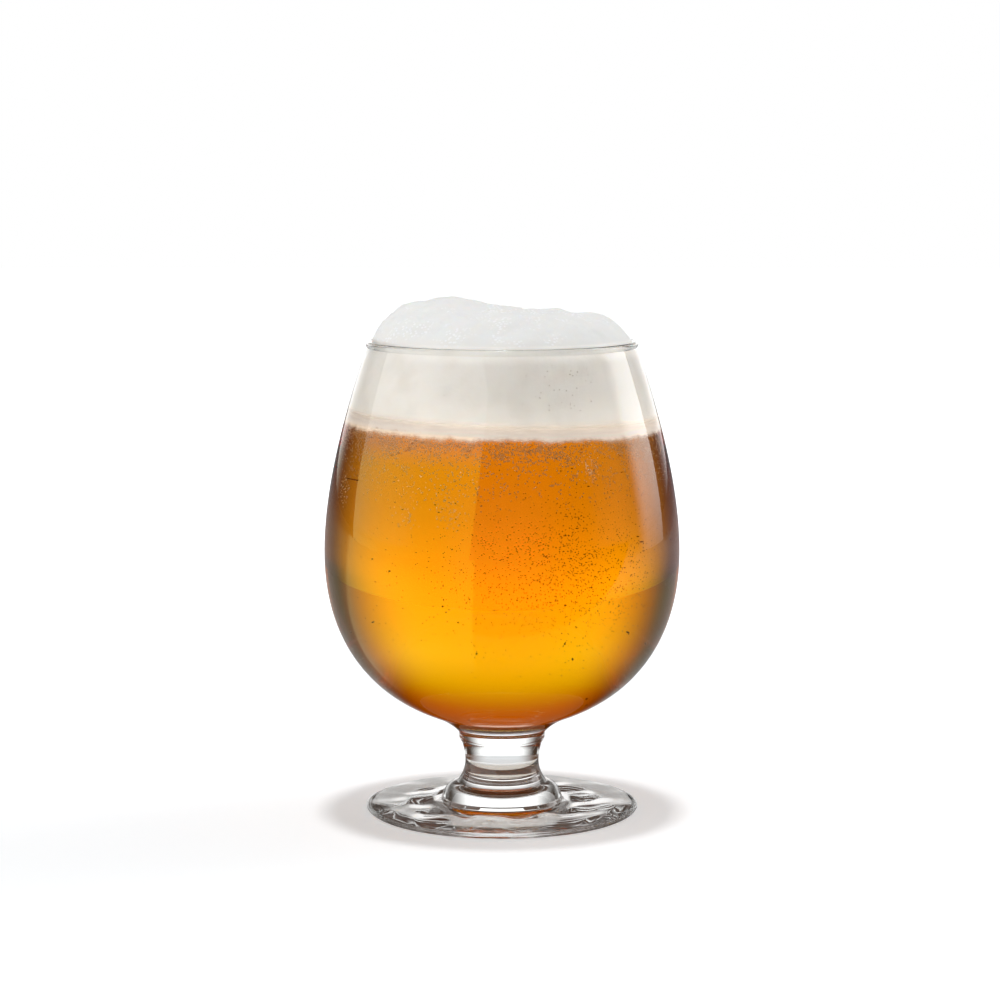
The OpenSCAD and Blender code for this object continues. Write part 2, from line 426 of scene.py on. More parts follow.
# %% [markdown]
# ## Curves from sizes
# The glass, the beer and the froth are all turned shapes: one outline, spun round the axis.
# An outline is a list of points, radius and height in millimetres. Its round stretches are
# Bezier curves between a few handles, so they stay smooth at any size. Sizes that the solids
# already hold are read from their boxes.

# %% Sizes in millimetres
def box_mm(node):
    low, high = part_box(node)
    return low / MM, high / MM


FOOT_LOW, FOOT_HIGH = box_mm("foot")
KNOP_LOW, KNOP_HIGH = box_mm("knop")
STEM_LOW, STEM_HIGH = box_mm("stem")
BOWL_LOW, BOWL_HIGH = box_mm("bowl")
BEER_LOW, BEER_HIGH = box_mm("beer")

FOOT_R, KNOP_R, BOWL_R = FOOT_HIGH.x, KNOP_HIGH.x, BOWL_HIGH.x
KNOP_Z, STEM_Z, BOWL_Z, RIM_Z = KNOP_LOW.z, STEM_LOW.z, BOWL_LOW.z, BOWL_HIGH.z
BEER_Z = BEER_HIGH.z
GAP = 0.05
WELL_Z = BEER_LOW.z - GAP

BELLY_Z = BOWL_Z + 48.4
RIM_R = 34
WALL, RIM_WALL = 1.5, 1.3
BEAD_R = 0.8
NECK_R, NECK_H = 11, 2.3
FLARE_R, FLARE_H, FLARE_SLOPE = 18.2, 4.6, 21
STEM_TOP_R, STEM_BASE_R, WAIST_R, WAIST_H = 10.4, 11.4, 9.35, 5.5
FOOT_EDGE, REST_R, REST_W, HOLLOW_H = 1.7, 33.2, 8, 0.9
KNOP_SINK = 1.3
CREASE = (4, 1.4)
SHOULDER_H = 0.38 * (RIM_Z - BELLY_Z)
WALL_TOP_Z = RIM_Z - 2 * BEAD_R
print("belly radius", round(BOWL_R, 2), "rim height", round(RIM_Z, 2), "beer", round(BEER_Z, 2))

# %% Bezier curves
def bend(*handles, steps=18):
    """Points along the Bezier curve of three or four handles."""
    handles = [Vector(h) for h in handles]
    points = []
    for i in range(steps + 1):
        level = handles
        while len(level) > 1:
            level = [a.lerp(b, i / steps) for a, b in zip(level, level[1:])]
        points.append(level[0])
    return points


def joined(*runs):
    """Runs of points end to end, without the points that repeat."""
    points = []
    for run in runs:
        for point in run:
            point = Vector(point)
            if not points or (point - points[-1]).length > 1e-4:
                points.append(point)
    return points


print("middle of a curve:", bend((0, 0), (1, 2), (2, 0), steps=2)[1])

# %% [markdown]
# ## The glass
# The real glass is blown and then built up hot: bowl, stem, knop and foot melt into one
# body. Four solids that only touch would show walls inside the stem, so the picture gets
# one closed mesh that stands for all four. Its outline starts under the foot at the axis,
# runs out over the edge, up the stem and the bowl, over the bead of the rim, and down the
# inside to the axis again.

# %% The outline of the foot, the knop and the stem
def foot_outline():
    edge_z = 0.8 * FOOT_EDGE
    inner = REST_R - REST_W
    top = Vector((0.985 * FOOT_R, FOOT_EDGE))
    root = Vector((KNOP_R, KNOP_Z - KNOP_SINK))
    slope = (root - top).normalized()
    return joined(
        bend((0, HOLLOW_H), (inner / 2, HOLLOW_H), (inner, 0), steps=16),
        bend((REST_R, 0), (FOOT_R, 0.35 * FOOT_EDGE), (FOOT_R, edge_z), steps=8),
        bend((FOOT_R, edge_z), (FOOT_R, FOOT_EDGE), top, steps=8),
        [top.lerp(root - CREASE[0] * slope, i / 14) for i in range(1, 14)],
        bend(root - CREASE[0] * slope, root, root + Vector((0, CREASE[1])), steps=8),
    )


def knop_outline():
    low = KNOP_Z - KNOP_SINK
    knop_h = STEM_Z - low
    steps = 16
    turns = [math.pi / 2 * i / steps for i in range(steps + 1)]
    arc = [
        Vector((STEM_BASE_R + (KNOP_R - STEM_BASE_R) * math.cos(a), low + knop_h * math.sin(a)))
        for a in turns
    ]
    return [p for p in arc if p.y > low + CREASE[1]]


def stem_outline():
    waist_z = STEM_Z + WAIST_H
    waist = (WAIST_R, waist_z)
    below = (WAIST_R, waist_z - 0.5 * WAIST_H)
    above = (WAIST_R, waist_z + 0.5 * (BOWL_Z - waist_z))
    return joined(
        bend((STEM_BASE_R, STEM_Z), below, waist, steps=12),
        bend(waist, above, (STEM_TOP_R, BOWL_Z), steps=12),
    )


print("points:", len(foot_outline()), len(knop_outline()), len(stem_outline()))

# %% The outline of the bowl
def neck_outline():
    return [
        (0.96 * NECK_R, BOWL_Z),
        (0.99 * NECK_R, BOWL_Z + 0.25 * NECK_H),
        (0.99 * NECK_R, BOWL_Z + 0.6 * NECK_H),
    ]


def bowl_outline():
    neck_z = BOWL_Z + NECK_H
    flare_z = neck_z + FLARE_H
    out = Vector((math.cos(math.radians(FLARE_SLOPE)), math.sin(math.radians(FLARE_SLOPE))))
    flare_end = Vector((FLARE_R, flare_z))
    reach = (FLARE_R - NECK_R) * 0.64 / out.x
    belly = (BOWL_R, BELLY_Z)
    under_belly = (BOWL_R, BELLY_Z - 0.483 * (BELLY_Z - flare_z))
    return joined(
        bend((NECK_R, neck_z), flare_end - reach * out, flare_end, steps=14),
        bend(flare_end, flare_end + 0.70 * (BOWL_R - FLARE_R) * out, under_belly, belly, steps=36),
        bend(belly, (BOWL_R, BELLY_Z + SHOULDER_H), (RIM_R, WALL_TOP_Z), steps=36),
    )


def bead_outline():
    middle = Vector((RIM_R - RIM_WALL + BEAD_R, RIM_Z - BEAD_R))
    turns = [math.radians(a) for a in range(-30, 181, 15)]
    return [middle + BEAD_R * Vector((math.cos(a), math.sin(a))) for a in turns]


def inner_side(gap=0.0):
    """The inside of the bowl from the axis to under the bead, drawn in by a gap."""
    r = BOWL_R - WALL - gap
    z = WELL_Z + gap
    under_belly = (r, BELLY_Z - 0.63 * (BELLY_Z - z))
    top = (RIM_R - RIM_WALL - gap, WALL_TOP_Z)
    return joined(
        bend((0, z), (1.41 * FLARE_R, z), under_belly, (r, BELLY_Z), steps=44),
        bend((r, BELLY_Z), (r, BELLY_Z + SHOULDER_H), top, steps=36),
    )


INSIDE = inner_side()
GLASS_OUTLINE = joined(
    foot_outline(),
    knop_outline(),
    stem_outline(),
    neck_outline(),
    bowl_outline(),
    bead_outline(),
    reversed(INSIDE),
)
print("outline of the glass:", len(GLASS_OUTLINE), "points")

# %% [markdown]
# To turn an outline by hand, you would put down one vertex, extrude it from point to point
# and spin the line. `spun` does the same. A plane is added and merged to one vertex at the
# outline's start, then extruded and spun. Points on the axis meet, so doubles are merged,
# and the faces are turned outwards.

# %% Spin an outline into a body
SECTORS = 160


def deselect():
    if bpy.context.object and bpy.context.object.mode != "OBJECT":
        bpy.ops.object.mode_set(mode="OBJECT")
    bpy.ops.object.select_all(action="DESELECT")


def spun(name, outline, sectors=SECTORS):
    deselect()
    start = outline[0]
    bpy.ops.mesh.primitive_plane_add(size=MM, location=(start.x * MM, 0, start.y * MM))
    piece = bpy.context.object
    piece.name = name
    bpy.ops.object.transform_apply(location=True, rotation=False, scale=True)
    bpy.ops.object.mode_set(mode="EDIT")
    bpy.ops.mesh.select_all(action="SELECT")
    bpy.ops.mesh.merge(type="CENTER")
    for here, there in zip(outline, outline[1:]):
        step = (there - here) * MM
        bpy.ops.mesh.extrude_region_move(TRANSFORM_OT_translate={"value": (step.x, 0, step.y)})
    bpy.ops.mesh.select_all(action="SELECT")
    bpy.ops.mesh.spin(steps=sectors, angle=math.tau, center=(0, 0, 0), axis=(0, 0, 1))
    bpy.ops.mesh.select_all(action="SELECT")
    bpy.ops.mesh.remove_doubles(threshold=0.002 * MM)
    bpy.ops.mesh.normals_make_consistent(inside=False)
    bpy.ops.object.mode_set(mode="OBJECT")
    return piece


glass = spun("glass_body", GLASS_OUTLINE)
print("glass:", len(glass.data.polygons), "faces")

# %% [markdown]
# The foot of a real glass is pressed while it is soft, and its top is never quite even. Those
# soft waves bend the light into the streaks that show on the foot. They fade out towards the
# knop and the edge.

# %% Soft waves on the foot
WAVE_H, WAVE_MM = 1.1, 8
WAVE_START, WAVE_END, WAVE_EDGE = 17, 29, 0.985 * FOOT_R
WAVE_LOW, WAVE_HIGH = 1.2, 3.2

for vertex in glass.data.vertices:
    place = vertex.co / MM
    radius = math.hypot(place.x, place.y)
    if WAVE_LOW < place.z < WAVE_HIGH and WAVE_START < radius < WAVE_EDGE:
        share = min(1, (radius - WAVE_START) / 3, max(0.1, (WAVE_END - radius) / 6))
        share = min(share, (WAVE_EDGE - radius) / 2)
        wave = noise.noise(Vector((place.x, place.y, 0)) / WAVE_MM)
        vertex.co.z += share * WAVE_H * MM * wave
bpy.ops.object.shade_smooth_by_angle(angle=math.radians(40))
print("waves of", WAVE_MM, "mm on the foot, from radius", WAVE_START, "mm")

# %% [markdown]
# ### Clear soda glass
# Blown soda glass is clear, perfectly smooth and very faintly green. Light bends by an
# index of 1.5 where it passes between air and glass. On the inside the glass isn't next to
# air: beer and wet froth lie against it, and light bends only by the ratio of the two, 1.5
# to 1.333, which is 1.125. So the wetted inside has a finish of its own. Without it the
# glass would show a silvery film of air all round the beer.
#
# The rim was melted smooth in a flame, which leaves it a little uneven, so its shine is softer.
# Where beer stands behind the wall, the reflections of the lamps are painted amber with a tint on
# the shine, a painted reflection colour. `mirror_tint` says where: on the left, low down, and with
# a deeper tint on the far side.
#
# A lamp's shadow ray can't bend, and would make a black shadow behind clear glass. All
# three finishes let shadow rays straight through.

# %% The three glass finishes
GLASS_INDEX = 1.5
BEER_INDEX = 1.333
UNEVEN_H = 0.02
TINT_SIDE, TINT_LOW, TINT_BACK = (22, 30), (58, 66), (0, 12)
PAINTED_AMBER_REFLECTION = (1.7, 1.8, 0.05, 1)
PAINTED_BACK_REFLECTION = (1.3, 0.55, 0.05, 1)


def in_metres(*lengths_mm):
    return [length * MM for length in lengths_mm]


# Paints the lamps' reflections amber where beer stands behind the wall: a painted reflection
# colour.
def mirror_tint(tree, place):
    axes = add_node(tree, "SeparateXYZ", [place])
    under_froth = in_metres(BEER_Z, BEER_Z - 8)
    below = add_node(tree, "MapRange", (axes["Z"], *under_froth, 0, 1), SMOOTH)[0]
    over_base = in_metres(BOWL_Z, WELL_Z)
    above = add_node(tree, "MapRange", (axes["Z"], *over_base, 0, 1), SMOOTH)[0]
    on_beer = add_node(tree, "Math", (below, above), TIMES)[0]
    left = add_node(tree, "MapRange", (axes["X"], *in_metres(*TINT_SIDE), 1, 0), SMOOTH)[0]
    lower = add_node(tree, "MapRange", (axes["Z"], *in_metres(*TINT_LOW), 1, 0), SMOOTH)[0]
    either = add_node(tree, "Math", (left, lower), LARGER)[0]
    where = add_node(tree, "Math", (on_beer, either), TIMES)[0]
    behind = add_node(tree, "MapRange", (axes["Y"], *in_metres(*TINT_BACK), 0, 1), SMOOTH)[0]
    tint = add_node(tree, "Mix", {0: behind, 6: PAINTED_AMBER_REFLECTION, 7: PAINTED_BACK_REFLECTION}, COLOURS)[2]
    return add_node(tree, "Mix", {0: where, 6: grey(1), 7: tint}, COLOURS)[2]


def clear_material(name, index, colour, uneven_mm, roughness=0, tinted=False):
    material, tree = new_material(name)
    place = add_node(tree, "TexCoord")["Object"]
    pattern = {"Vector": place, "Scale": 1 / (uneven_mm * MM), "Detail": 1, "Roughness": 0.3}
    uneven = add_node(tree, "TexNoise", pattern)["Fac"]
    bump = {"Strength": 1, "Distance": UNEVEN_H * MM, "Height": uneven}
    body = {"Base Color": linear(colour), "Roughness": roughness, "IOR": index}
    body |= {"Transmission Weight": 1, "Normal": add_node(tree, "Bump", bump)["Normal"]}
    if tinted:
        body["Specular Tint"] = mirror_tint(tree, place)
    body = add_node(tree, "BsdfPrincipled", body)[0]
    through = add_node(tree, "BsdfTransparent")[0]
    shadow = add_node(tree, "LightPath")["Is Shadow Ray"]
    surface = add_node(tree, "MixShader", (shadow, body, through))[0]
    add_node(tree, "OutputMaterial", {"Surface": surface})
    return material


for finish in (
    clear_material("clear soda glass", GLASS_INDEX, "#FCFEFD", 22, tinted=True),
    clear_material("soda glass wetted by beer", GLASS_INDEX / BEER_INDEX, "#FFFFFF", 22),
    clear_material("fire-polished rim", GLASS_INDEX, "#FCFEFD", 3, roughness=0.1),
):
    glass.data.materials.append(finish)
print("finishes:", [m.name for m in glass.data.materials])

# %% Wetted faces and the rim
def radius_at(curve, height):
    return float(np.interp(height, [p.y for p in curve], [p.x for p in curve]))


wetted = 0
for face in glass.data.polygons:
    middle = face.center / MM
    radius = math.hypot(middle.x, middle.y)
    near_inside = radius < radius_at(INSIDE, middle.z) + 0.3 * RIM_WALL
    if WELL_Z - GAP < middle.z < WALL_TOP_Z and near_inside:
        face.material_index = 1
        wetted += 1
    elif middle.z > WALL_TOP_Z:
        face.material_index = 2
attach(glass, "root")
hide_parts("bowl", "stem", "knop", "foot")
print("wetted faces:", wetted)

# %% [markdown]
# ## The beer
# Beer is clear and coloured all through: the further light travels in it, the more amber it
# gets, and the thin edge by the wall is paler. A coloured surface can't do that, so the
# body's inside absorbs light. Nearly all red passes, a quarter of the green is left after
# the widest way through, and no blue. The beer's skin bends nothing by itself, because the
# wetted side of the glass has done that.
#
# In the picture the level stands a little higher on the left, so the top is tipped.

# %% The beer's body
WET_GAP = 0.06
BEER_RISE = 0.4
FROTH_TILT = 0.026


def beer_outline():
    wall = inner_side(WET_GAP)
    top = BEER_Z + BEER_RISE
    edge = Vector((radius_at(wall, top), top))
    side = [p for p in wall if p.y < top]
    return joined(side, [(share * edge.x, top) for share in (1, 0.66, 0.33, 0)])


def tilt_level(piece):
    """Tips the level where beer and froth meet, higher on the left."""
    for vertex in piece.data.vertices:
        if abs(vertex.co.z / MM - BEER_Z) < BEER_RISE + 0.01:
            vertex.co.z -= FROTH_TILT * vertex.co.x


beer = spun("beer", beer_outline(), 128)
tilt_level(beer)
bpy.ops.object.shade_smooth_by_angle(angle=math.radians(40))
print("beer:", len(beer.data.polygons), "faces")

# %% The beer's finish
BEER_LEFT, BEER_DEPTH = (0.990, 0.85, 0.0, 1), 100
OPEN_TOP = (BEER_Z - 16, BEER_Z - 6)


def beer_material():
    """Absorbs light inside. Near the froth shadow rays pass, so lamps light the haze there."""
    material, tree = new_material("amber lager")
    skin = {"Base Color": grey(1), "Roughness": 0, "IOR": 1.0, "Transmission Weight": 1}
    skin = add_node(tree, "BsdfPrincipled", skin)[0]
    inside = add_node(tree, "VolumeAbsorption", {"Color": BEER_LEFT, "Density": BEER_DEPTH})[0]
    place = add_node(tree, "TexCoord")["Object"]
    height = add_node(tree, "SeparateXYZ", [place])["Z"]
    near_top = add_node(tree, "MapRange", (height, *in_metres(*OPEN_TOP), 0, 1), SMOOTH)[0]
    shadow = add_node(tree, "LightPath")["Is Shadow Ray"]
    open_share = add_node(tree, "Math", (shadow, near_top), TIMES)[0]
    through = add_node(tree, "BsdfTransparent")[0]
    surface = add_node(tree, "MixShader", (open_share, skin, through))[0]
    add_node(tree, "OutputMaterial", {"Surface": surface, "Volume": inside})
    return material


beer.data.materials.append(beer_material())
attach(beer, "root")
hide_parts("beer")
green_left = math.exp((BEER_LEFT[1] - 1) * BEER_DEPTH * 2 * BOWL_R * MM)
print("share of green left across the belly:", round(green_left, 2))

# %% [markdown]
# ## The froth
# Froth is a heap of bubbles, too small to see singly, so it looks like soft white plaster.
# It fills the glass above the beer and stands over the rim in a mound that is higher on the
# left. The mound starts a little inside the rim, behind a narrow lip. The body is spun from
# its outline, pulled up where it is higher, and remeshed into small even faces, so that
# displacement can give it lumps and bubbles.

# %% The froth's body
MOUND_H, MOUND_STEPS = 7.4, 26
LIP_R, LIP_H = 32.2, 0.5
FROTH_LIFT = 0.2


def froth_outline():
    wall = inner_side(GAP)
    bottom = BEER_Z + FROTH_LIFT
    low = Vector((radius_at(wall, bottom), bottom))
    reach = RIM_R - RIM_WALL - GAP
    lip = bend((reach, RIM_Z - 0.2), (reach, RIM_Z + 0.2), (LIP_R, RIM_Z + LIP_H), steps=8)
    shares = [1 - (i / MOUND_STEPS) ** 1.6 for i in range(1, MOUND_STEPS + 1)]
    top = MOUND_H - LIP_H
    mound = [Vector((LIP_R * s, RIM_Z + LIP_H + (1 - s**5) * top)) for s in shares]
    return joined([(0, bottom), low], [p for p in wall if bottom < p.y], lip, mound)


froth = spun("froth", froth_outline(), 96)
print("froth:", len(froth.data.polygons), "faces")

# %% Pull the mound up on the left
LOBE_X, LOBE_H, LOBE_SPREAD, LOBE_PICK = -17, 3.1, 21, 5

bpy.ops.object.mode_set(mode="EDIT")
bpy.ops.mesh.select_all(action="DESELECT")
bpy.ops.object.mode_set(mode="OBJECT")
for vertex in froth.data.vertices:
    on_top = vertex.co.z > (RIM_Z + 0.9 * MOUND_H) * MM
    off_lobe = (vertex.co.xy - Vector((LOBE_X, 0)) * MM).length
    vertex.select = on_top and off_lobe < LOBE_PICK * MM
bpy.ops.object.mode_set(mode="EDIT")
bpy.ops.transform.translate(
    value=(0, 0, LOBE_H * MM),
    use_proportional_edit=True,
    proportional_edit_falloff="SMOOTH",
    proportional_size=LOBE_SPREAD * MM,
    use_proportional_connected=True,
)
bpy.ops.object.mode_set(mode="OBJECT")
print("froth peak:", round(max(v.co.z for v in froth.data.vertices) / MM, 2))

# %% Even faces
FROTH_VOXEL = 0.5

tilt_level(froth)
remesh = froth.modifiers.new("even faces", "REMESH")
remesh.mode = "VOXEL"
remesh.voxel_size = FROTH_VOXEL * MM
remesh.use_smooth_shade = True
bpy.ops.object.modifier_apply(modifier=remesh.name)
print("froth after the remesh:", len(froth.data.polygons), "faces")

# %% Lumps and bubbles
UNDER_SHARE = 0.4


def weight_top(piece):
    """A vertex group that is 1 on the mound, 0 on the wall, and a little on the underside."""
    group = piece.vertex_groups.new(name="free surface")
    for vertex in piece.data.vertices:
        z = vertex.co.z / MM
        radius = math.hypot(vertex.co.x, vertex.co.y) / MM
        top = min(1, max(0, (z - RIM_Z + 0.2) / 4))
        below = min(1, max(0, (BEER_Z + FROTH_LIFT + 0.6 - z) / 0.6))
        below = UNDER_SHARE * below * min(1, (RIM_R + 1 - radius) / 3)
        group.add([vertex.index], max(top, below, 0), "REPLACE")


def displace(piece, kind, size_mm, height_mm, **settings):
    texture = bpy.data.textures.new(kind.lower(), kind)
    texture.noise_scale = size_mm * MM
    for name, value in settings.items():
        setattr(texture, name, value)
    modifier = piece.modifiers.new(kind.lower(), "DISPLACE")
    modifier.texture = texture
    modifier.texture_coords = "LOCAL"
    modifier.strength = height_mm * MM
    modifier.mid_level = 0.5
    modifier.vertex_group = "free surface"
    bpy.ops.object.modifier_apply(modifier=modifier.name)


weight_top(froth)
displace(froth, "CLOUDS", 11, 2.4, noise_depth=1)
displace(froth, "CLOUDS", 3.4, 0.6, noise_depth=2)
displace(froth, "VORONOI", 1.4, -0.25)
bpy.ops.object.shade_smooth()
print("froth with its lumps:", round(max(v.co.z for v in froth.data.vertices) / MM, 2), "mm high")

# %% [markdown]
# ### Fresh froth
# Light wanders in froth from bubble to bubble before it comes out, so its shadows are soft and
# filled: that is subsurface scattering over a few millimetres. The top has drained and is nearly
# white, with spots of larger bubbles. Lower down it is wetter and warmer, and the last millimetre
# over the beer takes the beer's colour. Away from the wall that underside is painted dark brown, a
# painted shade in the beer's amber.
#
# Some light wanders further, from the lit wall behind. Scattering doesn't carry it that
# far here, so the froth has a very weak glow just above the beer and just below the rim.

# %% The froth's colour
# The underside's dark brown is painted shade, warmed by the amber light that reaches it through the
# beer.
UNDER_R, UNDER_PAINTED_SHADE = 37, "#3A1C08"
WET_FOOT, DRAINED_TOP = "#E4BC92", "#F3F3F1"
BETWEEN = ((0.06, "#F4E6D5"), (0.2, "#F8F3EB"), (0.82, "#F5F2ED"))
WETTER, WETTER_SHARE = "#D8D2C8", 0.3


def tilted_level(tree, axes):
    """The height above the table, measured along the tipped level of the beer."""
    slope = add_node(tree, "Math", (axes["X"], FROTH_TILT), TIMES)[0]
    return add_node(tree, "Math", (axes["Z"], slope), PLUS)[0]


def drained_colour(tree, level):
    height = add_node(tree, "MapRange", (level, *in_metres(BEER_Z - 0.5, RIM_Z + 3)))[0]
    colour = add_node(tree, "ValToRGB", [height])["Color"]
    stops = colour.node.color_ramp.elements
    stops[0].color, stops[1].color = linear(WET_FOOT), linear(DRAINED_TOP)
    for position, between in BETWEEN:
        stops.new(position).color = linear(between)
    return colour


def underside(tree, place, level):
    """1 on the froth's underside away from the wall, and 0 elsewhere."""
    flat = add_node(tree, "VectorMath", (place, (1, 1, 0)), TIMES)[0]
    radius = add_node(tree, "VectorMath", [flat], {"operation": "LENGTH"})["Value"]
    within = in_metres(UNDER_R - 1, UNDER_R)
    inner = add_node(tree, "MapRange", (radius, *within, 1, 0), SMOOTH)[0]
    lowest = in_metres(BEER_Z + FROTH_LIFT + 0.8, BEER_Z + FROTH_LIFT + 1.2)
    lower = add_node(tree, "MapRange", (level, *lowest, 1, 0), SMOOTH)[0]
    return add_node(tree, "Math", (inner, lower), TIMES)[0]


def froth_colour(tree, place, level, on_mound, patches, bubbles):
    colour = drained_colour(tree, level)
    under = underside(tree, place, level)
    # Paint the underside dark brown: painted shade in the beer's amber.
    painted_under_shade = linear(UNDER_PAINTED_SHADE)
    colour = add_node(tree, "Mix", {0: under, 6: colour, 7: painted_under_shade}, COLOURS)[2]
    spots = add_node(tree, "MapRange", (bubbles, 0.3, 0.42, 1, 0), SMOOTH)[0]
    groups = add_node(tree, "MapRange", (patches, 0.48, 0.6, 0, 1), SMOOTH)[0]
    spots = add_node(tree, "Math", (spots, groups), TIMES)[0]
    spots = add_node(tree, "Math", (spots, on_mound), TIMES)[0]
    colour = add_node(tree, "Mix", {0: spots, 6: colour, 7: grey(1)}, COLOURS)[2]
    wetter = add_node(tree, "MapRange", (patches, 0.4, 0.75, 0, WETTER_SHARE), SMOOTH)[0]
    off_mound = add_node(tree, "Math", (1, on_mound), MINUS)[0]
    wetter = add_node(tree, "Math", (wetter, off_mound), TIMES)[0]
    return add_node(tree, "Mix", {0: wetter, 6: colour, 7: linear(WETTER)}, COLOURS)[2]


print("stops of the froth's colour:", len(BETWEEN) + 2)

# %% The froth's finish
PATCH_MM, BUBBLE_MM = 7, 0.9
LOW_GLOW, HIGH_GLOW = 0.15, 0.17
LOW_START, LOW_END = BEER_Z + 2, BEER_Z + 12
HIGH_START, HIGH_END = RIM_Z - 4.5, RIM_Z - 1.5
GLOW_SIDE = (-30, -8)


def wandering_light(tree, axes, level, on_mound):
    low_range = (*in_metres(LOW_START, LOW_END), LOW_GLOW, 0)
    low = add_node(tree, "MapRange", (level, *low_range), SMOOTH)[0]
    high_range = (*in_metres(HIGH_START, HIGH_END), 0, HIGH_GLOW)
    high = add_node(tree, "MapRange", (axes["Z"], *high_range), SMOOTH)[0]
    off_mound = add_node(tree, "Math", (1, on_mound), MINUS)[0]
    high = add_node(tree, "Math", (high, off_mound), TIMES)[0]
    side = add_node(tree, "MapRange", (axes["X"], *in_metres(*GLOW_SIDE), 0, 1), SMOOTH)[0]
    either = add_node(tree, "Math", (low, high), LARGER)[0]
    return add_node(tree, "Math", (either, side), TIMES)[0]


def froth_material():
    material, tree = new_material("fresh froth")
    place = add_node(tree, "TexCoord")["Object"]
    axes = add_node(tree, "SeparateXYZ", [place])
    level = tilted_level(tree, axes)
    above_rim = in_metres(RIM_Z, RIM_Z + 1)
    on_mound = add_node(tree, "MapRange", (axes["Z"], *above_rim, 0, 1), SMOOTH)[0]
    pattern = {"Vector": place, "Scale": 1 / (PATCH_MM * MM), "Detail": 3}
    patches = add_node(tree, "TexNoise", pattern)["Fac"]
    pattern = {"Vector": place, "Scale": 1 / (BUBBLE_MM * MM), "Randomness": 1}
    bubbles = add_node(tree, "TexVoronoi", pattern)["Distance"]
    bump = {"Strength": 0.15, "Distance": 0.12 * MM, "Height": bubbles}
    froth = {
        "Base Color": froth_colour(tree, place, level, on_mound, patches, bubbles),
        "Roughness": 0.6,
        "IOR": BEER_INDEX,
        "Normal": add_node(tree, "Bump", bump, {"invert": True})["Normal"],
        "Subsurface Weight": 0.5,
        "Subsurface Radius": (1, 0.85, 0.7),
        "Subsurface Scale": 2.5 * MM,
        "Emission Color": linear("#FFFAF3"),
        "Emission Strength": wandering_light(tree, axes, level, on_mound),
    }
    surface = add_node(tree, "BsdfPrincipled", froth)[0]
    add_node(tree, "OutputMaterial", {"Surface": surface})
    return material


froth.data.materials.clear()
froth.data.materials.append(froth_material())
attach(froth, "root")
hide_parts("foam_head")
print("finish:", froth.data.materials[0].name)

# %% [markdown]
# ## The bubbles
# Bubbles rise in strings and cling to the wall in clumps. Against the bright middle they are dark
# dots, because each one bends the light aside; here the dots are painted dark brown instead, a
# painted shade. A few larger ones leave small hollows in the froth by the wall, and these are
# painted grey, a painted shade. One small ball is modelled, then copied to seeded places by
# `scatter`. All the copies of a kind make one mesh.

# %% One bubble, many places
rng = np.random.default_rng(11)


def bubble_shape(squash=0.9):
    deselect()
    bpy.ops.mesh.primitive_ico_sphere_add(subdivisions=1, radius=1)
    ball = bpy.context.object
    bpy.ops.object.mode_set(mode="EDIT")
    bpy.ops.mesh.select_all(action="SELECT")
    bpy.ops.transform.resize(value=(1, 1, squash))
    bpy.ops.object.mode_set(mode="OBJECT")
    points = np.array([v.co[:] for v in ball.data.vertices])
    faces = np.array([p.vertices[:] for p in ball.data.polygons])
    bpy.data.objects.remove(ball)
    return points, faces


def scatter(name, places, radii):
    """Copies of the bubble, one at each place, joined in one mesh."""
    points, faces = BUBBLE
    corners = places[:, None, :] + points[None] * radii[:, None, None]
    index = faces[None] + np.arange(len(places))[:, None, None] * len(points)
    corners = (corners.reshape(-1, 3) * MM).tolist()
    mesh = bpy.data.meshes.new(name)
    mesh.from_pydata(corners, [], index.reshape(-1, faces.shape[1]).tolist())
    piece = bpy.data.objects.new(name, mesh)
    bpy.context.collection.objects.link(piece)
    piece.select_set(True)
    bpy.context.view_layer.objects.active = piece
    bpy.ops.object.shade_smooth()
    return piece


def on_wall(azimuth, height, depth):
    """A place at a depth under the wall's inside, its azimuth counted from the front."""
    turn = np.radians(azimuth)
    reach = np.interp(height, [p.y for p in INSIDE], [p.x for p in INSIDE]) - depth
    return np.stack([reach * np.sin(turn), -reach * np.cos(turn), height], axis=1)


BUBBLE = bubble_shape()
print("bubble:", len(BUBBLE[1]), "faces")

# %% [markdown]
# A clump is an azimuth and a height, how far it spreads in each, and a count. The clumps lie
# where the picture has its own.

# %% Clumps, dark dots and hollows
CLUMPS = (
    (-33, 80, 6, 3, 40),
    (-17, 81, 6, 4, 60),
    (31, 91, 4, 3, 60),
    (-66, 84, 5, 3, 40),
    (-20, 87, 14, 4, 50),
)
DOT_COUNT, DOTS_IN_FRONT = 2400, 1920
HOLLOW_COUNT, HOLLOWS_IN_FRONT = 50, 30
SKIN_DEPTH = 0.12


def clump_bubbles():
    places, radii = [], []
    for azimuth, height, wide, high, count in CLUMPS:
        size = rng.uniform(0.12, 0.22, count)
        azimuths = rng.normal(azimuth, wide / 2, count)
        heights = rng.normal(height, high / 2, count)
        places.append(on_wall(azimuths, heights, size + SKIN_DEPTH))
        radii.append(size)
    return np.concatenate(places), np.concatenate(radii)


def dot_bubbles():
    front, rest = DOTS_IN_FRONT, DOT_COUNT - DOTS_IN_FRONT
    azimuth = np.concatenate([rng.normal(18, 20, front), rng.uniform(-180, 180, rest)])
    height = np.concatenate([rng.normal(68, 9, front), rng.uniform(45, 92, rest)])
    height = np.clip(height, 40, BEER_Z - 6)
    radii = rng.uniform(0.10, 0.17, DOT_COUNT)
    return on_wall(azimuth, height, radii + SKIN_DEPTH), radii


